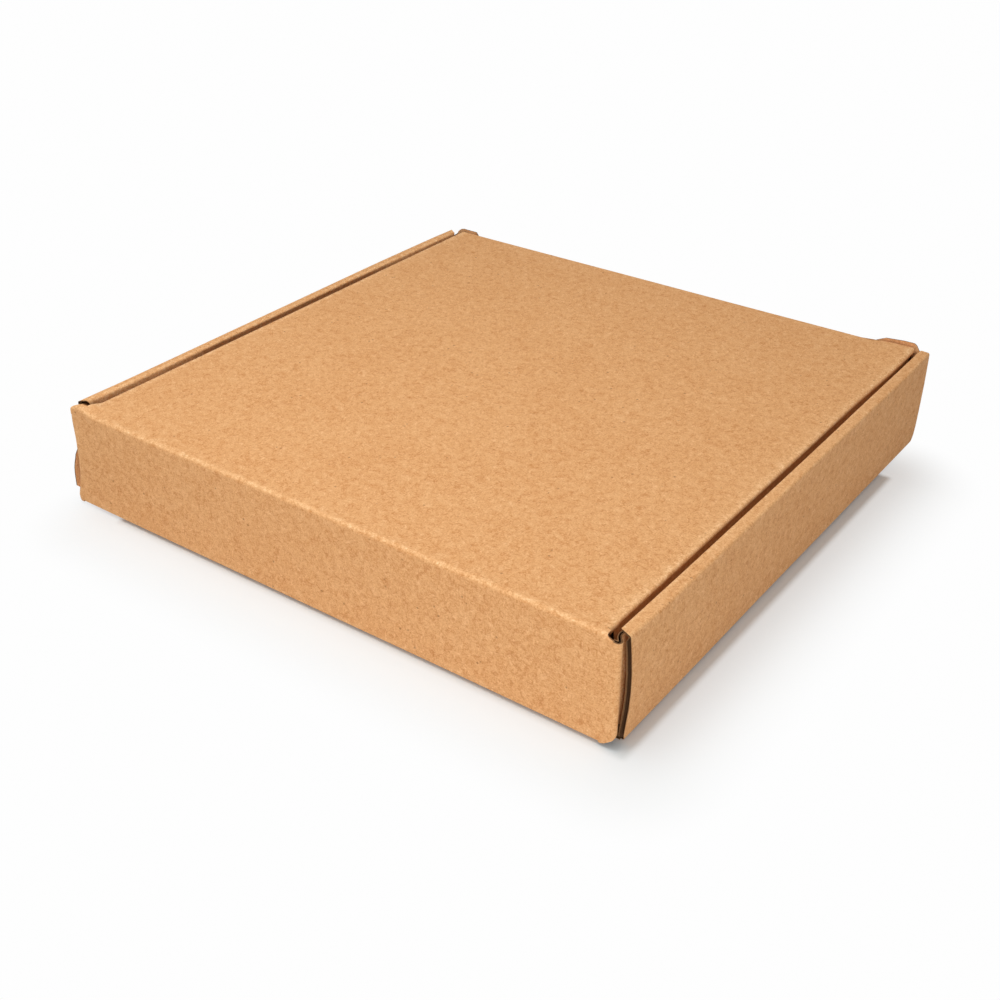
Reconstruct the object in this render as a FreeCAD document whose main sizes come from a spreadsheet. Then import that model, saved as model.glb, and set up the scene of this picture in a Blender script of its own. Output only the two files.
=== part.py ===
"""Kraft corrugated mailer box with a hinged tuck-in lid and rolled side walls.

Frame: +X across the box, +Y towards the hinge wall, +Z up, origin at the middle of
the underside.  Every length is in millimetres and every angle in degrees.

The real box is one folded sheet.  It is written as two bodies, the tray and the lid,
because the lid swings on the crease along the top of the hinge wall.
"""
import FreeCAD, Part
import Sketcher
import os
import re

# name: (value, what it is)
SIZES = {
    # overall
    "width": (314.0, "across the two top creases of the side walls"),
    "depth": (308.4, "hinge wall to front wall, outside"),
    "height": (53.2, "floor to the top of the closed lid"),
    "board": (2.0, "thickness of the corrugated board"),
    # gaps between layers that lie against each other
    "layer_gap": (0.15, "between two layers of a rolled side wall"),
    "floor_gap": (0.2, "under the free edges of the inner side walls"),
    "hinge_gap": (0.2, "between the hinge wall's top and the lid"),
    "wing_gap": (0.9, "between a lid wing and the inner side wall"),
    "tuck_gap": (0.2, "between the tuck flap and the front wall"),
    # folds
    "sharp_fold": (1.2, "outer radius of a tightly pressed crease"),
    "soft_fold": (1.8, "outer radius of a soft crease"),
    "corner_fold": (2.4, "outer radius of the upright corner folds"),
    # rolled side walls
    "side_bow": (2.8, "how far the outer side wall bows out at mid height"),
    "side_tuck": (0.6, "how far its foot stands in from its top"),
    "side_setback": (6.0, "from the box's end faces to the side wall's ends"),
    "liner_setback": (0.3, "from the end walls to the inner side wall's ends"),
    "tab_length": (40.0, "length of a locking tab"),
    "tab_spacing": (150.0, "between the middles of the two tabs on one side"),
    "slot_gap": (0.2, "round a locking tab in its slot"),
    # end walls and the flaps folded from their ends
    "flap_length": (70.0, "length of a dust flap inside the rolled side wall"),
    "flap_lift": (0.4, "from the floor panel to a dust flap's lower edge"),
    "corner_cut": (5.0, "length of each lower corner that is cut away"),
    "front_drop": (2.6, "front wall's middle below the lid's top"),
    "shoulder": (24.0, "length of the raised end of the front wall"),
    "shoulder_rise": (3.6, "raised end of the front wall above the lid's top"),
    "notch_depth": (4.6, "relief notch at each end of the hinge crease"),
    "notch_length": (7.8, "the same notch, along the crease"),
    "notch_round": (3.2, "radius of the notch's inner corner"),
    # lid
    "wing_depth": (44.0, "lid top to the lower edge of a wing"),
    "wing_back": (2.6, "from the hinge line to a wing"),
    "wing_front": (34.0, "from the lid's front edge to a wing's free end"),
    "wing_slant": (18.0, "how much shorter a wing is at its lower edge"),
    "tuck_depth": (42.0, "lid top to the lower edge of the tuck flap"),
    "tuck_lean": (5.0, "angle by which the tuck flap leans inwards"),
    "ear_length": (26.0, "length of an ear folded back from the tuck flap"),
    "ear_drop": (5.0, "lid top to the top of an ear"),
    "ear_depth": (30.0, "height of an ear"),
    "ear_round": (9.0, "radius of an ear's free corners"),
}

# Faces of the layers, as expressions on the cells, outwards to inwards.
SIDE_TOP = "(width / 2)"
SIDE_FOOT = "(width / 2 - side_tuck)"
FLAP_OUT = f"({SIDE_FOOT} - board - layer_gap)"
FLAP_IN = f"({FLAP_OUT} - board)"
LINER_OUT = f"({FLAP_IN} - layer_gap)"
LINER_IN = f"({LINER_OUT} - board)"
WING_OUT = f"({LINER_IN} - wing_gap)"
WING_IN = f"({WING_OUT} - board)"
WALL_OUT = "(depth / 2)"
WALL_IN = "(depth / 2 - board)"
LID_UNDER = "(height - board)"
LID_LENGTH = "(depth - board - tuck_gap)"

doc = FreeCAD.newDocument("mailer_box")
sheet = doc.addObject("Spreadsheet::Sheet", "Sizes")


def fill_sheet():
    """Put each size into its own cell with its alias and a note."""
    for row, (name, (size, note)) in enumerate(SIZES.items(), start=1):
        sheet.set(f"A{row}", name)
        sheet.set(f"B{row}", str(size))
        sheet.set(f"C{row}", note)
        sheet.setAlias(f"B{row}", name)
    doc.recompute()


def bound(text):
    """Write an expression's size names as references to the sheet."""
    def reference(word):
        name = word.group()
        return f"Sizes.{name}" if name in SIZES else name
    return re.sub(r"[a-z_]+", reference, text)


def number(text):
    """What an expression on the sizes comes to now."""
    return float(sheet.evalExpression(bound(text)))


def mirrored(outline):
    """The same outline on the other side of the vertical axis, still a closed loop."""
    flipped = [(f"-{x}" if x != "0" else x, y) for x, y, _ in outline]
    bends = [bend for _, _, bend in outline]
    # the edge that left a point now arrives at it, so the bends move along by one
    turned = flipped[::-1]
    turned_bends = bends[-2::-1] + bends[-1:]
    return [(x, y, bend) for (x, y), bend in zip(turned, turned_bends)]


def make_sketch(body, role, name, outlines, offset=None):
    """Draw closed outlines on one of the body's origin planes.

    An outline is a list of (x, y, bend): a corner, and how the edge that leaves it
    runs.  The bend is None for a straight edge, or (radius, side) for an arc whose
    middle lies to the left (+1) or to the right (-1) of the straight line.
    """
    sketch = body.newObject("Sketcher::SketchObject", name)
    plane = next(item for item in body.Origin.OriginFeatures if item.Role == role)
    sketch.AttachmentSupport = [(plane, "")]
    sketch.MapMode = "FlatFace"
    if offset:
        sketch.setExpression("AttachmentOffset.Base.z", bound(offset))
    for outline in outlines:
        draw_outline(sketch, outline)
    return sketch


def draw_outline(sketch, outline):
    """Add one closed outline to a sketch and tie every corner to the sheet."""
    corners = [FreeCAD.Vector(number(x), number(y), 0) for x, y, _ in outline]
    count = len(outline)
    edges = []
    for index, (_, _, bend) in enumerate(outline):
        start, end = corners[index], corners[(index + 1) % count]
        if bend is None:
            edges.append(sketch.addGeometry(Part.LineSegment(start, end), False))
            continue
        radius, side = number(bend[0]), bend[1]
        along = (end - start).normalize()
        left = FreeCAD.Vector(-along.y, along.x, 0)
        half = (end - start).Length / 2
        rise = radius - max(radius ** 2 - half ** 2, 0.0) ** 0.5
        middle = (start + end) * 0.5 + left * (side * rise)
        edges.append(sketch.addGeometry(Part.Arc(start, middle, end), False))
    for index, (x, y, bend) in enumerate(outline):
        # an arc is stored anticlockwise, so one that bends to the left starts at its end
        leaves = 2 if bend and bend[1] > 0 else 1
        before = outline[index - 1][2]
        arrives = 1 if before and before[1] > 0 else 2
        previous, edge = edges[index - 1], edges[index]
        sketch.addConstraint(
            Sketcher.Constraint("Coincident", previous, arrives, edge, leaves))
        for kind, text, at in (("DistanceX", x, corners[index].x),
                               ("DistanceY", y, corners[index].y)):
            row = sketch.addConstraint(
                Sketcher.Constraint(kind, -1, 1, edge, leaves, at))
            sketch.setExpression(f"Constraints[{row}]", bound(text))
        if bend:
            row = sketch.addConstraint(
                Sketcher.Constraint("Radius", edge, number(bend[0])))
            sketch.setExpression(f"Constraints[{row}]", bound(bend[0]))


def add_feature(body, kind, name, sketch, length, **options):
    """Pad or pocket a sketch.  Its length is an expression on the sizes."""
    feature = body.newObject(f"PartDesign::{kind}", name)
    feature.Profile = sketch
    feature.setExpression("Length", bound(length))
    for option, setting in options.items():
        setattr(feature, option, setting)
    doc.recompute()
    return feature


def add_changing(body, kind, name, sketch, length, **options):
    """Add a feature and make sure that it really adds or removes material."""
    before = body.Shape.Volume
    add_feature(body, kind, name, sketch, length, **options)
    change = body.Shape.Volume - before
    if (change <= 0) if kind == "Pad" else (change >= 0):
        raise RuntimeError(f"{name} changed nothing")


def straight(*corners):
    """An outline with straight edges only."""
    return [(x, y, None) for x, y in corners]


def rectangle(left, low, right, high):
    return straight((left, low), (right, low), (right, high), (left, high))


def make_tray():
    body = doc.addObject("PartDesign::Body", "tray")
    body.Label = "tray"
    body.Placement = FreeCAD.Placement(FreeCAD.Vector(0, 0, 0), FreeCAD.Rotation())
    add_floor(body)
    add_end_walls(body)
    cut_relief_notches(body)
    add_side_rolls(body)
    add_locking_tabs(body)
    add_shoulders(body)
    return body


def add_floor(body):
    """The floor panel, with the creases where it turns up into the two end walls."""
    crease_top = "(2 * board)"
    outline = [
        (f"-{WALL_IN}", "board", None),
        (f"-{WALL_IN}", crease_top, None),
        (f"-{WALL_OUT}", crease_top, None),
        (f"-{WALL_OUT}", "soft_fold", ("soft_fold", -1)),
        (f"-({WALL_OUT} - soft_fold)", "0", None),
        (f"({WALL_OUT} - soft_fold)", "0", ("soft_fold", -1)),
        (WALL_OUT, "soft_fold", None),
        (WALL_OUT, crease_top, None),
        (WALL_IN, crease_top, None),
        (WALL_IN, "board", None),
    ]
    sketch = make_sketch(body, "YZ_Plane", "floor_outline", [outline])
    add_feature(body, "Pad", "floor", sketch, f"2 * ({FLAP_OUT} - corner_cut)",
                SideType="Symmetric")


def add_end_walls(body):
    """The hinge wall and the front wall, each with a dust flap folded from each end."""
    low = "(board + flap_lift)"
    tops = {"hinge": f"({LID_UNDER} - hinge_gap)", "front": "(height - front_drop)"}
    for name, sign in (("hinge", ""), ("front", "-")):
        flap_end = f"{sign}({WALL_OUT} - flap_length)"
        inner = f"{sign}{WALL_IN}"
        fold = f"{sign}({WALL_OUT} - corner_fold)"
        outer = f"{sign}{WALL_OUT}"
        turn = -1 if sign else 1
        outline = [
            (f"-{FLAP_IN}", flap_end, None),
            (f"-{FLAP_IN}", inner, None),
            (FLAP_IN, inner, None),
            (FLAP_IN, flap_end, None),
            (FLAP_OUT, flap_end, None),
            (FLAP_OUT, fold, ("corner_fold", -turn)),
            (f"({FLAP_OUT} - corner_fold)", outer, None),
            (f"-({FLAP_OUT} - corner_fold)", outer, ("corner_fold", -turn)),
            (f"-{FLAP_OUT}", fold, None),
            (f"-{FLAP_OUT}", flap_end, None),
        ]
        sketch = make_sketch(body, "XY_Plane", f"{name}_wall_outline", [outline], low)
        add_changing(body, "Pad", f"{name}_wall", sketch, f"({tops[name]} - {low})")


def cut_relief_notches(body):
    """Rounded notches where the hinge crease, the wing crease and the corner meet."""
    edge = f"({FLAP_OUT} - notch_length)"
    low = "(height - notch_depth)"
    right = [
        (edge, "height", None),
        (edge, f"({low} + notch_round)", ("notch_round", -1)),
        (f"({edge} + notch_round)", low, None),
        (SIDE_TOP, low, None),
        (SIDE_TOP, "height", None),
    ]
    sketch = make_sketch(body, "XZ_Plane", "notch_outline", [right, mirrored(right)],
                         f"-({WALL_OUT} - side_setback)")
    add_changing(body, "Pocket", "relief_notches", sketch, "(side_setback + board)")


def add_side_rolls(body):
    """Each side: outer wall, narrow top strip and inner wall folded from one panel."""
    bow_chord = "sqrt(side_tuck ^ 2 + (height - sharp_fold - soft_fold) ^ 2)"
    bow_radius = f"(({bow_chord} ^ 2 / 4 + side_bow ^ 2) / (2 * side_bow))"
    liner_low = "(board + floor_gap)"
    right = [
        (f"({SIDE_FOOT} - soft_fold)", "0", ("soft_fold", -1)),
        (SIDE_FOOT, "soft_fold", (bow_radius, -1)),
        (SIDE_TOP, "(height - sharp_fold)", ("sharp_fold", -1)),
        (f"({SIDE_TOP} - sharp_fold)", "height", None),
        (f"({LINER_IN} + sharp_fold)", "height", ("sharp_fold", -1)),
        (LINER_IN, "(height - sharp_fold)", None),
        (LINER_IN, liner_low, None),
        (LINER_OUT, liner_low, None),
        (LINER_OUT, LID_UNDER, None),
        (f"({SIDE_TOP} - board)", LID_UNDER, (bow_radius, 1)),
        (f"({SIDE_FOOT} - board)", "board", None),
    ]
    section = right + mirrored(right)
    sketch = make_sketch(body, "XZ_Plane", "side_roll_section", [section])
    add_changing(body, "Pad", "side_rolls", sketch, "(depth - 2 * side_setback)",
                 SideType="Symmetric")
    liner = rectangle(LINER_IN, liner_low, LINER_OUT, LID_UNDER)
    sketch = make_sketch(body, "XZ_Plane", "liner_section", [liner, mirrored(liner)])
    add_changing(body, "Pad", "inner_side_walls", sketch,
                 f"2 * ({WALL_IN} - liner_setback)", SideType="Symmetric")


def add_locking_tabs(body):
    """Tabs on the inner side walls' lower edges, each in a slot through the floor."""
    slots, tabs = [], []
    for middle in ("(tab_spacing / 2)", "-(tab_spacing / 2)"):
        slot = rectangle(f"({LINER_IN} - slot_gap)", f"({middle} - tab_length / 2 - slot_gap)",
                         f"({LINER_OUT} + slot_gap)", f"({middle} + tab_length / 2 + slot_gap)")
        tab = rectangle(LINER_IN, f"({middle} - tab_length / 2)",
                        LINER_OUT, f"({middle} + tab_length / 2)")
        slots += [slot, mirrored(slot)]
        tabs += [tab, mirrored(tab)]
    sketch = make_sketch(body, "XY_Plane", "slot_outline", slots)
    add_changing(body, "Pocket", "slots", sketch, "board", Reversed=True)
    sketch = make_sketch(body, "XY_Plane", "tab_outline", tabs, "floor_gap")
    add_changing(body, "Pad", "locking_tabs", sketch, "(board + floor_gap)")


def add_shoulders(body):
    """Raised ends of the front wall, which show just past the closed lid."""
    inner = f"({FLAP_OUT} - shoulder)"
    low = "(height - front_drop - board)"
    high = "(height + shoulder_rise)"
    right = straight(
        (inner, low),
        (f"({FLAP_OUT} - corner_fold)", low),
        (f"({FLAP_OUT} - corner_fold)", high),
        (f"({inner} + 2 * board)", high),
    )
    sketch = make_sketch(body, "XZ_Plane", "shoulder_outline", [right, mirrored(right)],
                         WALL_IN)
    add_changing(body, "Pad", "shoulders", sketch, "board")


def make_lid():
    """The lid, drawn from the hinge line, which its placement puts on the tray."""
    body = doc.addObject("PartDesign::Body", "lid")
    body.Label = "lid"
    body.setExpression("Placement.Base.y", bound(WALL_OUT))
    body.setExpression("Placement.Base.z", bound("height"))
    add_lid_panel(body)
    add_wings(body)
    add_tuck_flap(body)
    add_ears(body)
    return body


def add_lid_panel(body):
    """The flat panel, rounded where it turns down into the hinge wall."""
    outline = [
        ("0", "-board", None),
        ("0", "-soft_fold", ("soft_fold", -1)),
        ("-soft_fold", "0", None),
        (f"-({LID_LENGTH} - sharp_fold)", "0", None),
        (f"-({LID_LENGTH} - sharp_fold)", "-board", None),
    ]
    sketch = make_sketch(body, "YZ_Plane", "panel_section", [outline])
    add_feature(body, "Pad", "panel", sketch, f"2 * ({WING_OUT} - soft_fold)",
                SideType="Symmetric")


def add_wings(body):
    """Wings folded down from the lid's two sides, with slanted free ends."""
    right = [
        (WING_IN, "0", None),
        (f"({WING_OUT} - soft_fold)", "0", ("soft_fold", 1)),
        (WING_OUT, "-soft_fold", None),
        (WING_OUT, "-wing_depth", None),
        (WING_IN, "-wing_depth", None),
    ]
    sketch = make_sketch(body, "XZ_Plane", "wing_section", [right, mirrored(right)],
                         "wing_back")
    add_changing(body, "Pad", "wings", sketch, f"({LID_LENGTH} - sharp_fold - wing_back)")
    front = f"-{LID_LENGTH}"
    front_end = f"-({LID_LENGTH} - wing_front)"
    front_cut = straight((front, "-board"), (front_end, "-board"),
                         (f"({front_end} + wing_slant)", "-(wing_depth + board)"),
                         (front, "-(wing_depth + board)"))
    rear_cut = straight(("0", "-board"), ("-wing_back", "-board"),
                        ("-(wing_back + wing_slant / 2)", "-(wing_depth + board)"),
                        ("0", "-(wing_depth + board)"))
    sketch = make_sketch(body, "YZ_Plane", "wing_end_cuts", [front_cut, rear_cut])
    add_changing(body, "Pocket", "wing_ends", sketch, "width", SideType="Symmetric")


def add_tuck_flap(body):
    """The flap folded down at the lid's front.  It leans in, and so clears the front
    wall as the lid swings up."""
    front = f"-{LID_LENGTH}"
    lean = "tan(tuck_lean * 1deg)"
    outline = [
        (f"({front} + sharp_fold)", "0", ("sharp_fold", 1)),
        (front, "-sharp_fold", None),
        (f"({front} + tuck_depth * {lean})", "-tuck_depth", None),
        (f"({front} + board + tuck_depth * {lean})", "-tuck_depth", None),
        (f"({front} + board + board * {lean})", "-board", None),
        (f"({front} + 2 * board)", "-board", None),
        (f"({front} + 2 * board)", "0", None),
    ]
    sketch = make_sketch(body, "YZ_Plane", "tuck_flap_section", [outline])
    add_changing(body, "Pad", "tuck_flap", sketch, f"({WING_IN} + {WING_OUT})",
                 SideType="Symmetric")


def add_ears(body):
    """Rounded ears folded back from the ends of the tuck flap, in the wings' planes."""
    front = f"-{LID_LENGTH}"
    lean = "tan(tuck_lean * 1deg)"
    low = "(ear_drop + ear_depth)"
    outline = [
        (f"({front} + ear_drop * {lean})", "-ear_drop", None),
        (f"({front} + {low} * {lean})", f"-{low}", None),
        (f"({front} + ear_length - ear_round)", f"-{low}", ("ear_round", -1)),
        (f"({front} + ear_length)", f"-({low} - ear_round)", None),
        (f"({front} + ear_length)", "-(ear_drop + ear_round)", ("ear_round", -1)),
        (f"({front} + ear_length - ear_round)", "-ear_drop", None),
    ]
    for name, offset in (("right", WING_IN), ("left", f"-{WING_OUT}")):
        sketch = make_sketch(body, "YZ_Plane", f"{name}_ear_outline", [outline], offset)
        add_changing(body, "Pad", f"{name}_ear", sketch, "board")


def check_document(bodies):
    """Stop if any object failed, or a body isn't one whole valid solid."""
    for item in doc.Objects:
        if {"Invalid", "Error"} & set(item.State):
            raise RuntimeError(f"{item.Name}: {item.State}")
    for body in bodies:
        shape = body.Shape
        if shape.isNull() or not shape.isValid() or len(shape.Solids) != 1:
            raise RuntimeError(f"{body.Label} is not one valid solid")


fill_sheet()
bodies = [make_tray(), make_lid()]
doc.recompute()
check_document(bodies)
os.makedirs("parts", exist_ok=True)
for body in bodies:
    body.Shape.exportStep(f"parts/{body.Label}.step")
    box = body.Shape.BoundBox
    print(f"{body.Label}: {body.Shape.Volume / 1000:.1f} cm3,"
          f" X {box.XMin:.2f} to {box.XMax:.2f},"
          f" Y {box.YMin:.2f} to {box.YMax:.2f}, Z {box.ZMin:.2f} to {box.ZMax:.2f}")
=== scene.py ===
"""Looks of the kraft mailer box: folded corrugated board, its creases, cut edges and wear, with
painted highlights on the creases and painted shade in the board's hollows.

Lengths are in millimetres until a mesh is made, in the CAD model's frame: +X across the
box, +Y towards the hinge wall, +Z up.  The box is one sheet, so every panel is described
flat, as part of the blank: u runs along the flutes and v across them, from the middle of
the floor.  A Path folds the blank in one direction, and a panel's fold function puts a
point of the blank in its place with one or two Paths.
"""

import math
from types import SimpleNamespace

import bmesh
import bpy
import numpy as np
from mathutils import Matrix, Vector


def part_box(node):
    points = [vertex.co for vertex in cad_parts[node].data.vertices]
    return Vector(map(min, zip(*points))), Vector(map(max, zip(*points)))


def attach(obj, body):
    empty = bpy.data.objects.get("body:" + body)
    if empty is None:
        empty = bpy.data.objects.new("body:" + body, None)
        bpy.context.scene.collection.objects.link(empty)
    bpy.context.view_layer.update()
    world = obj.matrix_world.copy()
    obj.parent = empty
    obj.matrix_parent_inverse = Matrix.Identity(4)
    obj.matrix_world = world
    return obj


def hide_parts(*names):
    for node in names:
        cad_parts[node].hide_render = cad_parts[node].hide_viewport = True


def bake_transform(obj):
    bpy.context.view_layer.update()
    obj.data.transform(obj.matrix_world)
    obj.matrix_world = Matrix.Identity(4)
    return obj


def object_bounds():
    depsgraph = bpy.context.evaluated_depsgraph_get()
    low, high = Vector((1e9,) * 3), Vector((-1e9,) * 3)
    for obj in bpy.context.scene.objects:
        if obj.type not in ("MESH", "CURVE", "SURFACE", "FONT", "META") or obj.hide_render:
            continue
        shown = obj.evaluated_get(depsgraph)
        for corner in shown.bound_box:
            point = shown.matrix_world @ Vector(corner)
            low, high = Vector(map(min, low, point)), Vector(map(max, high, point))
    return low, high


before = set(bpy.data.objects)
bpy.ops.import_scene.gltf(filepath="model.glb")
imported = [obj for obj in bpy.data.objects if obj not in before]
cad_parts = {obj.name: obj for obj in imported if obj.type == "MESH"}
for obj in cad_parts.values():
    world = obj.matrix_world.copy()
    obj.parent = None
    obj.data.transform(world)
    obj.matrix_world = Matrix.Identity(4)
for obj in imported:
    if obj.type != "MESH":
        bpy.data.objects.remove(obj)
cad_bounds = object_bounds()

MM = 0.001
TOLERANCE = 1e-6            # lengths that differ by less count as the same

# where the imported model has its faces
tray_high = np.array(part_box("tray")[1]) / MM
lid_low, lid_high = (np.array(corner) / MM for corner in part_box("lid"))
UNEVEN = 0.12               # the sheet's waviness, for which the box has to leave room
FACE = tray_high[1] - 1.5 * UNEVEN  # hinge wall's outer face; the front wall's is at -FACE
TOP = lid_high[2]           # top of the closed lid and of the side strips
LID_FRONT = lid_low[1]
WING_FOOT = lid_low[2]

# the board
BOARD = 2.0
LINER = 0.28
FLUTING = 0.18
PITCH = 6.4                 # one wave of the fluting
WAVE_STEPS = 4

# folds, as radii of the outer face
SHARP = 1.2
SOFT = 1.8
HINGE_FOLD = 2.2
FLAP_STEP_FOLD = 3.0
FLAP_LEAN_FOLD = 12.0
WING_KINK_FOLD = 5.0
TIGHTEST = 0.15

# rolled side walls
PINCH = 0.8                 # the top creases draw in by this much towards their ends
PINCH_OVER = (126.0, 150.0)
BOW_FROM = -30.0            # the bow goes from its far to its near value from here on
LINER_FOOT = BOARD + 0.2    # the inner wall stops just clear of the floor
TAB_MIDDLE = 75.0
TAB_HALF = 20.0
TAB_DROP = 2.0
SLOT_GAP = 0.25
PRESSED = 0.93              # share of its thickness that the board keeps in a rolled side
PRESSED_FLAP = 0.86         # and in a dust flap between the roll's layers
CRUSHED = 0.25              # and at an edge that has been knocked
WALL_KNOCKED = (149.0, 152.6)   # as has the left wall's near end
STRIP_KNOCKED = (145.5, 148.5)  # and the right strip's
STRIP_CRUSH = 0.7           # though that goes only this share of the way
LOOSE_LINER = 0.7           # how far a liner has come loose at the right wall's near end
LOOSE_FROM = 143.0
HOLLOW = 1.1                # the inner wall bulges outwards where no dust flap is behind it
HOLLOW_ENDS = (62.0, 84.0)
STRIP_WAIST = 0.45          # the right strip is this much narrower half way along
STRIP_CROWN = 1.1           # the left strip's near end bulges upwards by this much
CROWN_FROM = 118.0
STRIP_RUN_IN = 1.6          # and its far end lies this much further in
STRIP_RUN_OVER = (20.0, 140.0)
WALL_RUN_IN = 1.0           # with the top of the wall below it
WALL_RUN_OVER = (60.0, 150.0)
# how far the left wall's near end stands out, by height
FLARE_OVER = (105.0, 152.0)
FLARE = [(0, 3.1), (5, 3.2), (9, 3.1), (14, 2.9), (17, 2.6), (20, 2.0), (23, 1.0), (26, -0.2),
         (30, -0.9), (36, -1.4), (44, -0.9), (51, 0)]

# end walls and dust flaps
FRONT_DROP = 2.6
SHOULDER_CRUSH = 0.75       # share of its thickness that the front wall's raised edge loses
FLAP_LENGTH = 70.0
FLAP_STEP = 6.0             # the dust flap steps inwards within this of the wall's face
FLAP_FLAT = 15.0            # and lies flat from here on
CORNER_CUT_LENGTH = 5.0     # what is cut from the floor's corners
# how far the hinge wall's left end stands out, by height
LEAN_X = (120.0, 154.0)
LEAN_Y = (136.0, 152.0)
END_LEAN = [(0, 4.5), (1.2, 5.0), (3.3, 5.2), (7, 4.0), (15, 2.0), (24, 1.1), (36, 0.5),
            (46, 0.9), (54, 0.0)]

# hinge crease
HINGE_BELOW = 4.0           # the crease piece reaches this far down and across
NOTCH_LIFT = 1.4            # relief notch's lower edge above the crease piece's
NOTCH_ROUND = 3.2
NOTCH_CRUSH = 0.65          # share of its thickness that the board loses there
NOTCH_DRAW_IN = 4.5         # the left notch, where the lid begins

# lid
WING_BACK = 5.0
WING_FRONT = 34.0
WING_SLANT = 18.0           # its front end slants in by this much, and its back by half
SLANT_FRONT = 60.0          # which fades over these lengths
SLANT_BACK = 40.0
WING_LEAN = 3.2             # the wing's foot lies this far inside its crease
WING_KINK = (2.7, 6.0)      # and it already lies this far in at this depth
WING_LIP = 4.0              # what is left of a wing beyond its end at the hinge
FRONT_LIP = 8.0             # and beyond its end at the front
TUCK_DEPTH = 42.0
TUCK_LEAN = math.radians(5)
EAR_LENGTH = 26.0
EAR_DROP = 8.5
EAR_DEPTH = 30.0
EAR_ROUND = 9.0

# how the closed box has settled
SPRUNG_LIFT = 2.0           # the hinge crease's left end has sprung up by this much
SPRUNG_X = (138.0, 146.0)   # rising over these lengths across, along and up
SPRUNG_Y = (140.0, 149.0)
SPRUNG_Z = (42.0, 52.0)
SPRUNG_HALVES = (149.0, 154.0)  # and half as high at the very corner
SPRUNG_LINES = (138.0, 139.5, 141.0, 142.5, 144.0, 146.0, 149.0, 151.5)  # grid lines there
LID_SKEW = 0.0065           # its front edge falls short by this share of the way to the left
CORNER_UP = 1.8             # its front right corner stands up by this much
CORNER_UP_X = (122.0, 138.0)
CORNER_UP_Y = (112.0, 150.0)
CORNER_OUT = 1.3            # and has moved outwards by this much
CORNER_OUT_X = (120.0, 146.0)
CORNER_OUT_Y = (70.0, 150.0)

# The two sides, as seen from the hinge wall.  sign is a side's way along X, and these are
# lengths from the middle:
#   foot, top: the outer side wall's creases        inner: the inner side wall's face
#   corner: where the end walls turn back           step, flap: where their dust flaps lie
#   notch: the hinge crease's end                   lid: the crease of the lid's wing
# bow_near and bow_far are how far the outer wall bows out at the hinge wall and in front.
# near and far are where the rolled side ends there, at the marks that add_side gives.
# shoulder is how far the front wall's top edge stands above its middle, and cut_away how far
# an end wall's lower corner is cut away, each by length from the middle.
RIGHT = SimpleNamespace(
    sign=-1, foot=156.2, top=tray_high[0] - 1.5, inner=151.3, bow_near=2.1, bow_far=0.2,
    corner=157.4, step=152.4, flap=154.9, notch=149.0, lid=149.3, lid_fold=1.4,
    near=[146.8, 149.0, 149.6, 149.6, 149.6, 149.6, 149.6, 148.0, 143.5],
    far=[-149.0, -153.0, -153.8, -153.9, -153.9, -152.9, -153.5, -153.9, -151.6],
    shoulder=[(126.6, 0), (127.6, 2.4), (130.2, 3.7), (132.8, 4.9), (137.7, 5.4), (142.6, 5.9),
              (148.6, 6.0), (149.9, 5.0), (151.4, 2.7), (153.5, 0)],
    cut_away=[(148.0, 0), (148.3, -2.6), (149.5, -1.5), (151.9, 0.2), (154.5, 2.3), (157, 5.0)])
LEFT = SimpleNamespace(
    sign=1, foot=156.0, top=tray_high[0] - 3.3, inner=151.2, bow_near=0.6, bow_far=0.8,
    corner=154.3, step=153.2, flap=154.1, notch=153.6, lid=147.5, lid_fold=1.6,
    near=[146.8, 150.0, 153.9, 153.9, 147.6, 147.6, 148.0, 145.3, 142.0],
    far=[-147.0, -147.0, -147.0, -147.0, -147.0, -147.0, -147.5, -145.6, -144.6],
    shoulder=[(135.8, 0), (138, 2.7), (148.1, 2.8), (150.2, 2.1), (152.2, 0.4), (154.2, -1.7)],
    cut_away=[(150.5, 0), (150.8, -2.7), (151.8, -2.3), (153, -1.0), (154.5, 0.5), (156, 2.5)])
SIDES = (RIGHT, LEFT)
# grid lines where those outlines bend
SHOULDER_LINES = (126.6, 127.6, 130.2, 132.8, 135.8, 138.0, 142.6, 148.1, 149.9, 151.4)
CUT_AWAY_LINES = (148.3, 149.5, 150.8, 151.8, 153.0, 154.5)


def ease(value, start, end):
    """0 before start, 1 after end, and smooth between them."""
    share = np.clip((value - start) / (end - start), 0.0, 1.0)
    return share * share * (3 - 2 * share)


def profile(value, points):
    """The height at a value of an outline that runs straight from point to point."""
    places, heights = zip(*points)
    return np.interp(value, places, heights)


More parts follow.
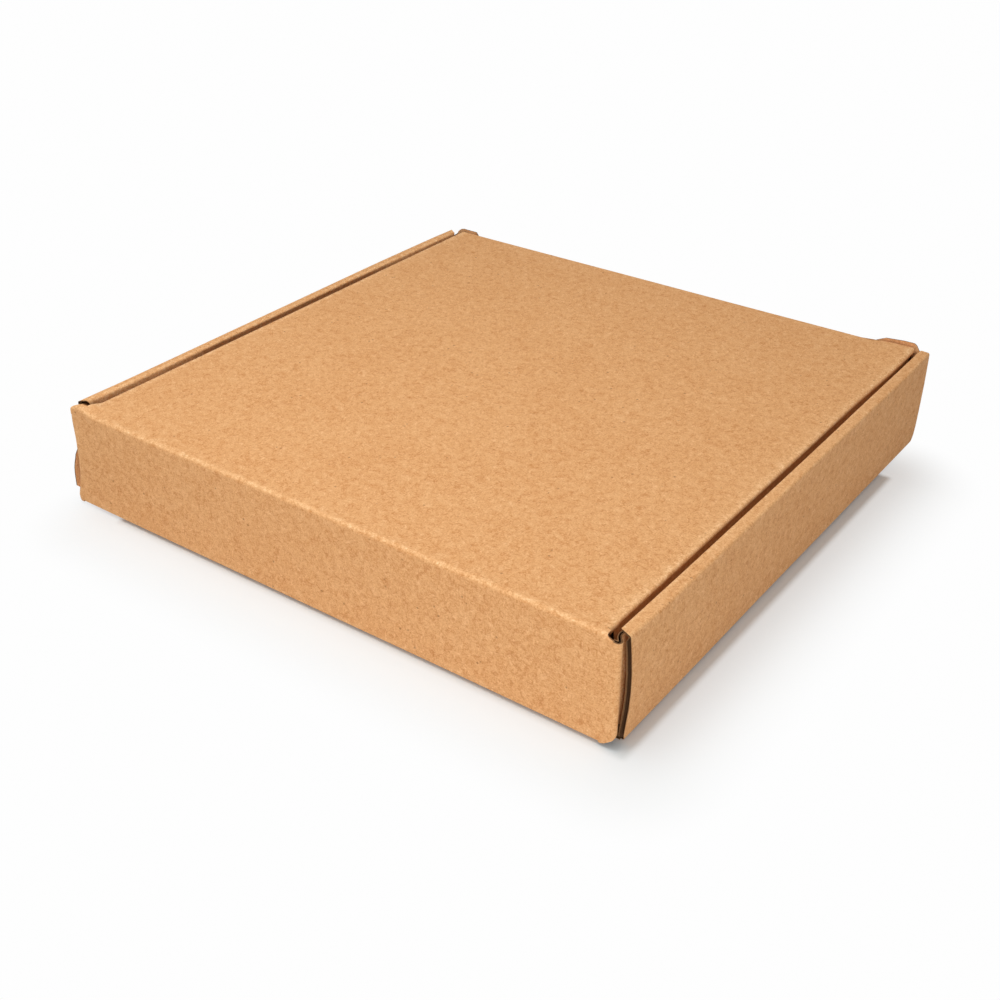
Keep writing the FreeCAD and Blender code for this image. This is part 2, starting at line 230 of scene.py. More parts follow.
class Path:
    """A folded section: straight runs between corners, each corner rounded to a crease.

    The corners lie on the outer face.  Depth runs into the board, which is to the left of
    the way of travel if inner_side is +1 and to the right if it is -1.
    """

    def __init__(self, corners, radii, inner_side):
        self.corners = np.array(corners, float)
        runs = np.diff(self.corners, axis=0)
        lengths = np.linalg.norm(runs, axis=1)
        self.ways = runs / lengths[:, None]
        lefts = np.stack([-self.ways[:, 1], self.ways[:, 0]], axis=1)
        self.inwards = inner_side * lefts
        self.radii = [0.0, *radii, 0.0]
        before, after = self.ways[:-1], self.ways[1:]
        cross = before[:, 0] * after[:, 1] - before[:, 1] * after[:, 0]
        dot = np.sum(before * after, axis=1)
        self.turns = [0.0, *np.arctan2(cross, dot), 0.0]
        # +1 where the inner face is on the inside of the bend
        self.hollows = [0.0, *(np.sign(cross) * inner_side), 0.0]
        self.bends = [None, *(np.sign(cross)[:, None] * lefts[:-1]), None]
        mitres = (self.inwards[:-1] + self.inwards[1:]) / (
            1 + np.sum(self.inwards[:-1] * self.inwards[1:], axis=1))[:, None]
        self.mitres = np.vstack([self.inwards[:1], mitres, self.inwards[-1:]])
        self.breaks = self._breaks(lengths)

    def run(self, index):
        """Lengths along the outer face at which a straight run begins and ends."""
        return self.breaks[2 * index], self.breaks[2 * index + 1]

    def _breaks(self, lengths):
        """Lengths along the outer face at which runs and creases begin and end."""
        breaks = [0.0]
        for index, length in enumerate(lengths):
            trims = self._trim(index, 0.0) + self._trim(index + 1, 0.0)
            breaks.append(breaks[-1] + length - trims)
            if index + 1 < len(lengths):
                breaks.append(breaks[-1] + self.radii[index + 1] * abs(self.turns[index + 1]))
        return np.array(breaks)

    def _radius(self, corner, depth):
        return np.maximum(self.radii[corner] - self.hollows[corner] * depth, TIGHTEST)

    def _trim(self, corner, depth):
        """How much of each run beside a corner its crease takes."""
        if self.turns[corner] == 0.0:
            return 0.0
        return self._radius(corner, depth) * math.tan(abs(self.turns[corner]) / 2)

    def _run_end(self, run, corner, depth):
        toward = 1 if corner == run else -1
        trim = np.asarray(toward * self._trim(corner, depth))
        return (self.corners[corner] + depth[:, None] * self.mitres[corner]
                + np.broadcast_to(trim, depth.shape)[:, None] * self.ways[run])

    def place(self, along, depth):
        """The point at a length along the outer face and at a depth below it."""
        shape = np.broadcast(along, depth).shape
        along = np.broadcast_to(along, shape).ravel()
        depth = np.broadcast_to(depth, shape).ravel().astype(float)
        points = np.empty((along.size, 2))
        last = len(self.breaks) - 2
        stretch = np.clip(np.searchsorted(self.breaks, along, side="right") - 1, 0, last)
        for index in range(last + 1):
            mine = stretch == index
            start, end = self.breaks[index], self.breaks[index + 1]
            share = ((along[mine] - start) / (end - start))[:, None]
            run, here = index // 2, depth[mine]
            if index % 2 == 0:
                first = self._run_end(run, run, here)
                final = self._run_end(run, run + 1, here)
                points[mine] = first + share * (final - first)
                continue
            angle = share * abs(self.turns[run + 1])
            radius = self._radius(run + 1, here)[:, None]
            points[mine] = self._run_end(run, run + 1, here) + radius * (
                np.sin(angle) * self.ways[run] + (1 - np.cos(angle)) * self.bends[run + 1])
        return points.reshape(shape + (2,))

    @property
    def length(self):
        return self.breaks[-1]

    def nearness(self, along, reach=2.2):
        """1 on a crease, falling to 0 beside it."""
        near = np.zeros(np.shape(along))
        for start, end in zip(self.breaks[1:-1:2], self.breaks[2::2]):
            away = np.maximum(np.maximum(start - along, along - end), 0.0)
            near = np.maximum(near, np.exp(-(away / reach) ** 2))
        return near

    def lines(self, start, end, step, crease_steps=6):
        """Grid lines between two lengths: close on and beside creases, wider elsewhere."""
        near, far = 1.2, 3.0
        marks = [start, end]
        for index in range(len(self.breaks) - 1):
            low, high = self.breaks[index], self.breaks[index + 1]
            if index % 2:
                marks += list(np.linspace(low, high, crease_steps + 1))
                marks += [low - far, low - near, high + near, high + far]
                continue
            marks += list(np.linspace(low, high, max(1, math.ceil((high - low) / step)) + 1))
        return tidy_lines(marks, start, end)


def tidy_lines(marks, start, end, closest=0.05):
    """Sorted grid lines between two ends, with none too close to the next."""
    kept = []
    for mark in sorted(marks):
        if start - TOLERANCE <= mark <= end + TOLERANCE and (not kept or mark - kept[-1] > closest):
            kept.append(mark)
    kept[-1] = end
    return np.array(kept)


def joined(right, left):
    """Grid lines from one end to the other, from those of two halves that meet at 0."""
    return np.concatenate([-right[:0:-1], left])


def refined(lines, step):
    """The same grid lines with more between them, none further apart than the step."""
    finer = [lines[:1]]
    for low, high in zip(lines[:-1], lines[1:]):
        finer.append(np.linspace(low, high, math.ceil(abs(high - low) / step) + 1)[1:])
    return np.concatenate(finer)


# ---- building a piece of the sheet ----

OUTSIDE, INSIDE, MEDIUM, CUT = range(4)


def plain(u, v):
    """The outline of a panel whose edges run straight along the grid."""
    return u, v


def everything(u, v):
    """Keep every cell of the grid."""
    return np.ones(np.shape(u), bool)


class Board:
    """One piece of the sheet: two liners and a waved fluting, panel by panel."""

    def __init__(self, name, bend, between=MEDIUM):
        self.name = name
        self.bend = bend
        self.between = between
        # at these lengths up the blank one piece goes on into the next, with no cut edge
        self.joins = (HINGE_START, LID_START)
        self.points, self.flat, self.crease_wear_and_highlight = [], [], []
        self.faces, self.materials = [], []
        self.count = 0

    def add_panel(self, u_lines, v_lines, fold, crease, keep=everything, outline=plain):
        """Add a panel.

        fold puts blank points and depths in place, crease says how near each is to a
        crease, keep picks the grid's cells by their middles, and outline moves the grid's
        points on the blank to give the panel its edges.
        """
        middle, swing = BOARD / 2, BOARD / 2 - LINER - FLUTING / 2

        def wave(v):
            return middle + swing * np.sin(2 * math.pi * v / PITCH)

        waved_lines = refined(v_lines, PITCH / WAVE_STEPS)
        # grid lines, upper and lower depth, and the materials of the two surfaces
        layers = (
            (v_lines, lambda v: 0 * v, lambda v: 0 * v + LINER, OUTSIDE, self.between),
            (waved_lines, lambda v: wave(v) - FLUTING / 2, lambda v: wave(v) + FLUTING / 2,
             self.between, self.between),
            (v_lines, lambda v: 0 * v + BOARD - LINER, lambda v: 0 * v + BOARD,
             self.between, INSIDE),
        )
        for lines, top, bottom, top_material, bottom_material in layers:
            u, v = np.meshgrid(u_lines, lines, indexing="ij")
            kept = keep((u[1:, 1:] + u[:-1, :-1]) / 2, (v[1:, 1:] + v[:-1, :-1]) / 2)
            u, v = outline(u, v)
            surfaces = [fold(u, v, depth(v)) for depth in (top, bottom)]
            self._add_slab(surfaces, u, v, crease(u, v), kept,
                           (top_material, bottom_material))

    def _add_slab(self, surfaces, u, v, near, kept, materials):
        """Add a closed slab between two surfaces over the kept cells of a grid."""
        numbers = np.arange(u.size).reshape(u.shape) + self.count
        below = u.size
        quads = np.stack([numbers[:-1, :-1], numbers[1:, :-1],
                          numbers[1:, 1:], numbers[:-1, 1:]], axis=-1)[kept]
        room = np.pad(kept, 1)
        across = room[1:, 1:-1] != room[:-1, 1:-1]
        down = room[1:-1, 1:] != room[1:-1, :-1]
        rims = [np.stack([first[edge], second[edge], second[edge] + below,
                          first[edge] + below], axis=-1)
                for first, second, edge in ((numbers[:, :-1], numbers[:, 1:], across),
                                            (numbers[:-1, :], numbers[1:, :], down))]
        end_v = v[:-1, :][down]
        goes_on = np.isclose(end_v[:, None], self.joins, atol=0.01).any(axis=1)
        for faces, material in ((quads, materials[0]), (quads[:, ::-1] + below, materials[1]),
                                (rims[0], CUT), (rims[1], np.where(goes_on, INSIDE, CUT))):
            self.faces.append(faces)
            self.materials.append(np.broadcast_to(material, len(faces)))
        for surface in surfaces:
            self.points.append(surface.reshape(-1, 3))
            self.flat.append(np.stack([u, v], axis=-1).reshape(-1, 2))
            self.crease_wear_and_highlight.append(np.asarray(near).ravel())
        self.count += 2 * u.size

    def build(self):
        """Make the mesh object, with its blank as a UV map and, as an attribute, its creases' paler
        wear and painted highlight.
        """
        faces = np.concatenate(self.faces)
        used, faces = np.unique(faces, return_inverse=True)
        faces = faces.reshape(-1, 4)
        points = self.bend(np.concatenate(self.points)[used]) * MM
        flat = np.concatenate(self.flat)[used] * MM
        mesh = bpy.data.meshes.new(self.name)
        mesh.from_pydata(points.tolist(), [], faces.tolist())
        mesh.polygons.foreach_set("material_index", np.concatenate(self.materials))
        crease_wear_and_highlight = mesh.attributes.new("crease_wear_and_highlight", "FLOAT", "POINT")
        crease_wear_and_highlight.data.foreach_set("value", np.concatenate(self.crease_wear_and_highlight)[used])
        layer = mesh.uv_layers.new(name="blank")
        corners = np.empty(len(mesh.loops), int)
        mesh.loops.foreach_get("vertex_index", corners)
        layer.data.foreach_set("uv", flat[corners].ravel())
        smooth_between_edges(mesh)
        piece = bpy.data.objects.new(self.name, mesh)
        bpy.context.scene.collection.objects.link(piece)
        for material in BOARD_MATERIALS:
            mesh.materials.append(material)
        return piece


def smooth_between_edges(mesh, sharpest=math.radians(38)):
    """Point the faces outwards and shade smoothly, apart from the cut edges."""
    work = bmesh.new()
    work.from_mesh(mesh)
    bmesh.ops.recalc_face_normals(work, faces=work.faces)
    for face in work.faces:
        face.smooth = True
    for edge in work.edges:
        edge.smooth = edge.calc_face_angle(math.pi) < sharpest
    work.to_mesh(mesh)
    work.free()


# ---- how the finished box has settled ----

def uneven(points):
    """A slight waviness of the whole sheet."""
    x, y, z = points.T
    # long and short waves, which together are at most 1.6 high
    swell = np.stack([
        np.sin(y / 41 + 1.3) * np.sin(z / 17 + 0.4) + 0.6 * np.sin(y / 19 + z / 9),
        np.sin(x / 47 + 0.2) * np.sin(z / 15 + 1.1) + 0.6 * np.sin(x / 21 - z / 11 + 2.0),
        0.7 * np.sin(x / 53 + 0.8) * np.sin(y / 45 + 0.5),
    ], axis=1)
    # nothing sinks below the floor
    swell[:, 2] *= ease(z, 0.0, 8.0)
    return points + UNEVEN / 1.6 * swell


def corner_lift(x, y, z):
    """How far the crease's left end has sprung up, with the corners of the sheet beside it."""
    across = ease(x, *SPRUNG_X) * (1 - 0.5 * ease(x, *SPRUNG_HALVES))
    return SPRUNG_LIFT * across * ease(y, *SPRUNG_Y) * ease(z, *SPRUNG_Z)


def spring_up(points):
    """The hinge crease, with its sprung end and the sheet's waviness."""
    moved = points.copy()
    moved[:, 2] += corner_lift(*points.T)
    return uneven(moved)


def settle_lid(points):
    """The lid lies askew: it falls short at its front left, and its front right stands up."""
    moved = spring_up(points)
    x, y = points[:, 0], points[:, 1]
    forwards = (FACE - HINGE_BELOW - y) / (FACE - LID_FRONT)
    moved[:, 1] += LID_SKEW * (x + RIGHT.lid) * forwards
    moved[:, 2] += CORNER_UP * ease(-x, *CORNER_UP_X) * ease(-y, *CORNER_UP_Y)
    moved[:, 0] -= CORNER_OUT * ease(-x, *CORNER_OUT_X) * ease(-y, *CORNER_OUT_Y)
    return moved


# ---- the tray ----

HINGE_FOOT = TOP - HINGE_BELOW
hinge_wall_path = Path([(0, 0), (FACE, 0), (FACE, HINGE_FOOT)], [SHARP], 1)
front_wall_path = Path([(0, 0), (FACE, 0), (FACE, TOP - FRONT_DROP)], [SOFT], 1)
for side in SIDES:
    side.foot_cut = side.cut_away[0][0]
    side.roll = Path([(0, 0), (side.foot, 0), (side.top, TOP), (side.inner, TOP),
                      (side.inner, LINER_FOOT)], [SOFT, SHARP, SHARP], 1)
    side.wrap = Path([(0, FACE), (side.corner, FACE), (side.step, FACE - FLAP_STEP),
                      (side.flap, FACE - FLAP_FLAT), (side.flap, FACE - FLAP_LENGTH)],
                     [SOFT, FLAP_STEP_FOLD, FLAP_LEAN_FOLD], -1)
_, FLOOR_END = hinge_wall_path.run(0)
CORNER_CUT = FLOOR_END - CORNER_CUT_LENGTH


def add_floor(board):
    """The floor panel, with four slots for the locking tabs."""
    slot_u = [(side.inner - SLOT_GAP, side.inner + BOARD + SLOT_GAP) for side in SIDES]
    slot_v = [TAB_MIDDLE - TAB_HALF - SLOT_GAP, TAB_MIDDLE + TAB_HALF + SLOT_GAP]
    halves = []
    for side, edges in zip(SIDES, slot_u):
        _, end = side.roll.run(0)
        marks = [*np.arange(0, end, 40.0), *edges, side.foot_cut, end]
        halves.append(tidy_lines(marks, 0, end))
    marks = [*np.arange(0, FLOOR_END, 2.5 * PITCH), *slot_v, CORNER_CUT, FLOOR_END]
    half = tidy_lines(marks, 0, FLOOR_END)

    def keep(u, v):
        cut = np.zeros(np.shape(u), bool)
        for side, (low, high) in zip(SIDES, slot_u):
            cut |= (u * side.sign > side.foot_cut) & (abs(v) > CORNER_CUT)
            across = (u * side.sign > low) & (u * side.sign < high)
            cut |= across & (abs(v) > slot_v[0]) & (abs(v) < slot_v[1])
        return ~cut

    board.add_panel(joined(*halves), joined(half, half),
                    lambda u, v, depth: np.stack([u, v, depth], axis=-1),
                    lambda u, v: 0 * u, keep)


def add_side(board, side):
    """A rolled side: outer wall, top strip, inner wall and its two locking tabs."""
    path = side.roll
    (_, foot), (_, wall_top), (strip_start, strip_end), (liner_start, end) = map(
        path.run, range(4))
    marks = [foot, foot + 5, foot + 9, foot + 29, foot + 36, wall_top,
             strip_start, strip_end, liner_start + 4]
    near_end, far_end = max(side.near), min(side.far)

    u_lines = path.lines(foot, end, 9.0, 5)
    if side is LEFT:
        flared = [foot + height for height, _ in FLARE]
        u_lines = tidy_lines([*u_lines, *flared], foot, end, 0.1)
    u_lines = np.append(u_lines, end + TAB_DROP)
    tab_edges = [way * (TAB_MIDDLE + offset) for way in (-1, 1)
                 for offset in (-TAB_HALF, TAB_HALF)]
    v_lines = tidy_lines([far_end, near_end, far_end + 3, near_end - 3, *tab_edges,
                          *np.arange(-22.5, 22.5, 1.5) * PITCH, *np.arange(125, near_end, 5.0)],
                         far_end, near_end, 0.6)

    def outline(u, v):
        fading = 24.0
        at_near = np.interp(abs(u), marks, side.near) - near_end
        at_far = np.interp(abs(u), marks, side.far) - far_end
        v = v + at_near * ease(v, near_end - fading, near_end)
        return u, v + at_far * (1 - ease(v, far_end, far_end + fading))

    def keep(u, v):
        in_tab = abs(abs(v) - TAB_MIDDLE) < TAB_HALF
        return (abs(u) < end) | in_tab

    def squeezed(u, v, depth):
        """Depths with the layers pressed together, and with the damage at the near end."""
        on_wall = abs(u) < wall_top
        if side is LEFT:
            knocked = on_wall * ease(v, *WALL_KNOCKED)
            return depth * (PRESSED + (CRUSHED - PRESSED) * knocked)
        loose = LOOSE_LINER * (depth > BOARD / 2) * ease(v, LOOSE_FROM, near_end) * on_wall
        knocked = STRIP_CRUSH * (1 - on_wall) * ease(v, *STRIP_KNOCKED)
        return depth * (PRESSED + (CRUSHED - PRESSED) * knocked) + loose

    def fold(u, v, depth):
        point = path.place(abs(u), squeezed(u, v, depth))
        x, z = point[..., 0], point[..., 1]
        height = np.clip(z / TOP, 0, 1)
        # out is how far the outer wall stands out, and slack how far the inner wall does
        bow = side.bow_far + (side.bow_near - side.bow_far) * ease(v, BOW_FROM, near_end)
        out = 4 * height * (1 - height) * bow - PINCH * height * ease(abs(v), *PINCH_OVER)
        if side is RIGHT:
            slack = STRIP_WAIST * (1 - (v / near_end) ** 2)
        else:
            out = out + profile(z, FLARE) * ease(v, *FLARE_OVER)
            out = out - WALL_RUN_IN * ease(-v, *WALL_RUN_OVER) * height
            slack = -STRIP_RUN_IN * ease(-v, *STRIP_RUN_OVER)
            over = np.clip((abs(u) - wall_top) / (liner_start - wall_top), 0, 1)
            z = z + STRIP_CROWN * np.sin(math.pi * over) * ease(v, CROWN_FROM, near_end)
        rolled = ease(abs(u), wall_top, strip_end)
        # how far down the inner wall a point is, as a share
        below = (TOP - SHARP - z) / (TOP - SHARP - LINER_FOOT)
        below = np.clip(below, 0, 1) * (abs(u) >= liner_start)
        hollow = HOLLOW * np.sin(math.pi * below ** 0.45) * (1 - ease(abs(v), *HOLLOW_ENDS))
        x = x + hollow + out + rolled * (slack - out)
        return np.stack([side.sign * x, v, z], axis=-1)

    def crease(u, v):
        # the outer creases are smooth, with faint wear and painted highlight; the strip's inner one
        # has a stronger painted highlight, but narrow
        inner = strip_end - 0.4
        return np.maximum(0.3 * path.nearness(abs(u)), 0.8 * ease(abs(u), inner - 0.5, inner))

    board.add_panel(side.sign * u_lines, v_lines, fold, crease, keep, outline)


def front_rise(u):
    """How far the front wall's top edge stands above its middle, along the wall."""
    return sum(profile(side.sign * u, side.shoulder) for side in SIDES)


def hinge_rise(u):
    """How far the hinge wall's top edge stands above the crease piece's lower edge."""
    edge = RIGHT.notch + NOTCH_ROUND
    return NOTCH_LIFT * ease(-u, edge - 0.4, edge)


def foot_rise(u):
    """How far a lower corner of an end wall is cut away, above the end of its crease."""
    return sum(profile(side.sign * u, side.cut_away) for side in SIDES)


def add_end_wall(board, way, path, rise, extra):
    """The hinge wall (way 1) or the front wall (way -1) with its two dust flaps."""
    (_, start), (foot, top) = path.run(0), path.run(1)
    halves = []
    for side in SIDES:
        reach = side.wrap.length
        marks = [*side.wrap.lines(0, reach, 12.0), side.foot_cut, *extra, *CUT_AWAY_LINES]
        halves.append(tidy_lines(marks, 0, reach, 0.15))
    # the cut-away corners fade out at low_part, and the edge's rise begins at high_part
    low_part, high_part = foot + 14, top - 12
    marks = [*path.lines(start, top, 8.0), foot + 7, low_part,
             *np.linspace(high_part, top, 7)]
    v_lines = tidy_lines(marks, start, top, 0.15)

    def outline(u, v):
        up = abs(v)
        shift = foot_rise(u) * (1 - ease(up, foot, low_part))
        up = up + np.where(up > foot - TOLERANCE, shift, 0.0)
        up = up + rise(u) * ease(up, high_part, top)
        return u, way * up

    def keep(u, v):
        return (abs(v) > foot) | ((u > -RIGHT.foot_cut) & (u < LEFT.foot_cut))

    def fold(u, v, depth):
        depth = np.broadcast_to(depth, u.shape)
        if way < 0:
            # the raised ends of the front wall's top edge are crushed
            knocked = ease(abs(v), top - 2.5, top) * ease(abs(u), 120, 126)
            depth = BOARD / 2 + (depth - BOARD / 2) * (1 - SHOULDER_CRUSH * knocked)
        turned = path.place(abs(v), depth)
        level = path.place(abs(v), 0 * depth)[..., 1]
        points = np.stack([u, way * turned[..., 0], turned[..., 1]], axis=-1)
        for side in SIDES:
            beyond = (u * side.sign > side.foot_cut + TOLERANCE) | (abs(v) >= foot - TOLERANCE)
            mine = beyond & (u * side.sign >= 0)
            turned_back, _ = side.wrap.run(1)
            in_flap = ease(abs(u[mine]), turned_back, turned_back + 4)
            pressed = 1 - (1 - PRESSED_FLAP) * in_flap
            wrapped = side.wrap.place(abs(u[mine]), depth[mine] * pressed)
            points[mine] = np.stack([side.sign * wrapped[:, 0], way * wrapped[:, 1],
                                     level[mine]], axis=-1)
        if way > 0:
            # the hinge wall's left end leans outwards towards its foot
            x, y, z = np.moveaxis(points, -1, 0)
            lean = profile(z, END_LEAN) * ease(x, *LEAN_X) * ease(y, *LEAN_Y)
            lift = corner_lift(x, y, z)
            points[..., 2] += lift
            points[..., 0] += lean
        return points

    def crease(u, v):
        # faint wear and painted highlight along the corner folds and the wall's creases
        corner = np.where(u < 0, RIGHT.wrap.nearness(abs(u)), LEFT.wrap.nearness(abs(u)))
        return 0.3 * np.maximum(corner, path.nearness(abs(v)))

    board.add_panel(joined(*halves), way * v_lines, fold, crease, keep, outline)


def make_tray():
    """The tray: floor, rolled sides and end walls, in one piece."""
    board = Board("tray_board", uneven)
    add_floor(board)
    for side in SIDES:
        add_side(board, side)
    add_end_wall(board, 1, hinge_wall_path, hinge_rise,
                 [RIGHT.notch + NOTCH_ROUND - 0.4, RIGHT.notch + NOTCH_ROUND, *SPRUNG_LINES])
    add_end_wall(board, -1, front_wall_path, front_rise, SHOULDER_LINES)
    piece = board.build()
    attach(piece, "tray")
    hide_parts("tray")


# ---- the crease between the hinge wall and the lid ----

hinge_path = Path([(FACE, HINGE_FOOT), (FACE, TOP), (FACE - HINGE_BELOW, TOP)],
                  [HINGE_FOLD], 1)
HINGE_START = hinge_wall_path.length
LID_START = HINGE_START + hinge_path.length


def make_crease():
    """The soft crease along the hinge, with a rounded relief notch at each end."""
    board = Board("hinge_crease", spring_up, INSIDE)
    v_lines = HINGE_START + hinge_path.lines(0, hinge_path.length, 0.5, 15)
    halves = []
    for side in SIDES:
        marks = [*np.arange(0, SPRUNG_LINES[0], 12.0), *SPRUNG_LINES, side.notch - 2.5,
                 side.notch - 1.5, side.notch - 0.7, side.notch]
        halves.append(tidy_lines(marks, 0, side.notch, 0.3))

    def notch_edge(v):
        """How far the crease's right end lies outside the notch's deepest point."""
        up = np.clip((v - HINGE_START - NOTCH_LIFT) / NOTCH_ROUND, 0, 1)
        return NOTCH_ROUND * (1 - np.sqrt(1 - (1 - up) ** 2))

    def outline(u, v):
        fading = 8
        flare = notch_edge(v) * ease(-u, RIGHT.notch - fading, RIGHT.notch)
        # on the left the crease runs out to the corner, and draws in where the lid begins
        draw_in = ease(v, LID_START - 4, LID_START) * ease(u, LEFT.notch - fading, LEFT.notch)
        return u - flare - NOTCH_DRAW_IN * draw_in, v

    def fold(u, v, depth):
        # the board is crushed at the notch
        edge = RIGHT.notch + notch_edge(v)
        knocked = ease(-u, edge - 2.2, edge) * ease(v - HINGE_START, 0.0, NOTCH_LIFT)
        depth = BOARD / 2 + (depth - BOARD / 2) * (1 - NOTCH_CRUSH * knocked)
        turned = hinge_path.place(v - HINGE_START, depth)
        return np.stack([u, turned[..., 0], turned[..., 1]], axis=-1)

    def crease(u, v):
        # a painted highlight with paler rubbed fibres along the lid's side of the crease, with a
        # sharp edge below
        past = v - HINGE_START - hinge_path.length / 2
        return ease(past, -0.9, -0.1) * (1 - 0.9 * ease(past, 0.3, 2.6))

    board.add_panel(joined(*halves), v_lines, fold, crease, outline=outline)
    piece = board.build()
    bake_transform(piece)


# ---- the lid ----

TUCK_IN = TUCK_DEPTH * math.tan(TUCK_LEAN)
lid_path = Path([(FACE - HINGE_BELOW, TOP), (LID_FRONT, TOP),
                 (LID_FRONT + TUCK_IN, TOP - TUCK_DEPTH)], [SHARP], 1)
for side in SIDES:
    side.wing = Path([(0, TOP), (side.lid, TOP), (side.lid - WING_KINK[0], TOP - WING_KINK[1]),
                      (side.lid - WING_LEAN, WING_FOOT)], [side.lid_fold, WING_KINK_FOLD], -1)
    side.ear = Path([(0, 0), (side.lid - 1, 0), (side.lid - 1, EAR_LENGTH)], [SHARP], 1)


def add_lid_panel(board):
    """The flat panel with a wing folded down from each side."""
    _, front = lid_path.run(0)
    wing_end = front - WING_FRONT
    halves = []
    # closer lines where a corner has bent up, across the lid and then along it
    for side, bent in ((RIGHT, np.arange(121.0, 139.0, 3.0)), (LEFT, SPRUNG_LINES)):
        reach = side.wing.length
        halves.append(tidy_lines([*side.wing.lines(0, reach, 12.0), *bent], 0, reach, 0.2))
    v_lines = LID_START + tidy_lines(
        [0, WING_BACK, wing_end, front, *np.arange(0, 12, 1.5), *np.arange(12, front, 12.0),
         *np.arange(front - 42, front, 3.5)], 0, front, 0.5)
    near_v, far_v = LID_START + WING_BACK, LID_START + wing_end

    (_, right_panel), (_, left_panel) = (side.wing.run(0) for side in SIDES)
    (right_wing, _), (left_wing, _) = (side.wing.run(1) for side in SIDES)

    def outline(u, v):
        panel_end = np.where(u < 0, right_panel, left_panel)
        down = np.clip((abs(u) - panel_end) / (TOP - WING_FOOT), 0, 1)
        v = v + WING_SLANT / 2 * down * (1 - ease(v, near_v, near_v + SLANT_BACK))
        return u, v - WING_SLANT * down * ease(v, far_v - SLANT_FRONT, far_v)

    def keep(u, v):
        wing_start = np.where(u < 0, right_wing, left_wing)
        lip = np.where(v > far_v, FRONT_LIP, WING_LIP)
        return (abs(u) < wing_start + lip) | ((v > near_v) & (v < far_v))

    def fold(u, v, depth):
        depth = np.broadcast_to(depth, u.shape)
        points = np.empty(u.shape + (3,))
        points[..., 1] = FACE - HINGE_BELOW - (v - LID_START)
        for side in SIDES:
            mine = u * side.sign >= 0
            turned = side.wing.place(abs(u[mine]), depth[mine])
            points[mine, 0] = side.sign * turned[:, 0]
            points[mine, 2] = turned[:, 1]
        return points

    def crease(u, v):
        # wear and painted highlight along the wing's creases
        return np.where(u < 0, RIGHT.wing.nearness(abs(u)), LEFT.wing.nearness(abs(u)))

    board.add_panel(joined(*halves), v_lines, fold, crease, keep, outline)


def add_tuck_flap(board):
    """The flap folded down at the front, with a rounded ear folded back from each end."""
    (_, start), (foot, end) = lid_path.run(0), lid_path.run(1)
    ear_top = foot + EAR_DROP - SHARP
    ear_low = ear_top + EAR_DEPTH
    halves = []
    for side in SIDES:
        # the lines are close together only at the ear
        fine = side.ear.lines(0, side.ear.length, 4.0)
        halves.append(np.concatenate([fine[fine < 6], np.arange(12, 140, 12.0),
                                      fine[fine > 140]]))
    corner = [ear_top + EAR_ROUND, ear_low - EAR_ROUND]
    rounds = [*np.linspace(ear_top, corner[0], 7), *np.linspace(corner[1], ear_low, 7)]
    marks = [*lid_path.lines(start, end, 6.0), *rounds]
    v_lines = LID_START + tidy_lines(marks, start, end, 0.1)
    (_, right_flap), (_, left_flap) = (side.ear.run(0) for side in SIDES)

    def flap_end(u):
        return np.where(u < 0, right_flap, left_flap)

    def ear_end(u):
        return np.where(u < 0, RIGHT.ear.length, LEFT.ear.length)

    def outline(u, v):
        along = v - LID_START
        away = np.clip(np.maximum(corner[0] - along, along - corner[1]), 0, EAR_ROUND)
        short = EAR_ROUND - np.sqrt(EAR_ROUND ** 2 - away ** 2)
        share = np.clip((abs(u) - flap_end(u)) / (ear_end(u) - flap_end(u)), 0, 1)
        return u - np.sign(u) * short * ease(share, 0.3, 1.0), v

    def keep(u, v):
        along = v - LID_START
        return (abs(u) < flap_end(u)) | ((along > ear_top) & (along < ear_low))

    inward = lid_path.inwards[-1]

    def fold(u, v, depth):
        depth = np.broadcast_to(depth, u.shape)
        along = v - LID_START
        turned = lid_path.place(along, depth)
        outer = lid_path.place(along, 0 * depth)
        points = np.stack([u, turned[..., 0], turned[..., 1]], axis=-1)
        upright = along >= foot - TOLERANCE
        for side in SIDES:
            mine = upright & (u * side.sign >= 0)
            wrapped = side.ear.place(abs(u[mine]), depth[mine])
            points[mine, 0] = side.sign * wrapped[:, 0]
            points[mine, 1:] = outer[mine] + wrapped[:, 1:] * inward
        return points

    def crease(u, v):
        # wear and painted highlight along the ears' and the tuck flap's creases
        ears = np.where(u < 0, RIGHT.ear.nearness(abs(u)), LEFT.ear.nearness(abs(u)))
        return np.maximum(ears, lid_path.nearness(v - LID_START))

    board.add_panel(joined(*halves), v_lines, fold, crease, keep, outline)


def make_lid():
    """The lid: its panel with the wings, and the tuck flap with its ears."""
    board = Board("lid_board", settle_lid)
    add_lid_panel(board)
    add_tuck_flap(board)
    piece = board.build()
    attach(piece, "lid")
    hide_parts("lid")


# ---- materials ----

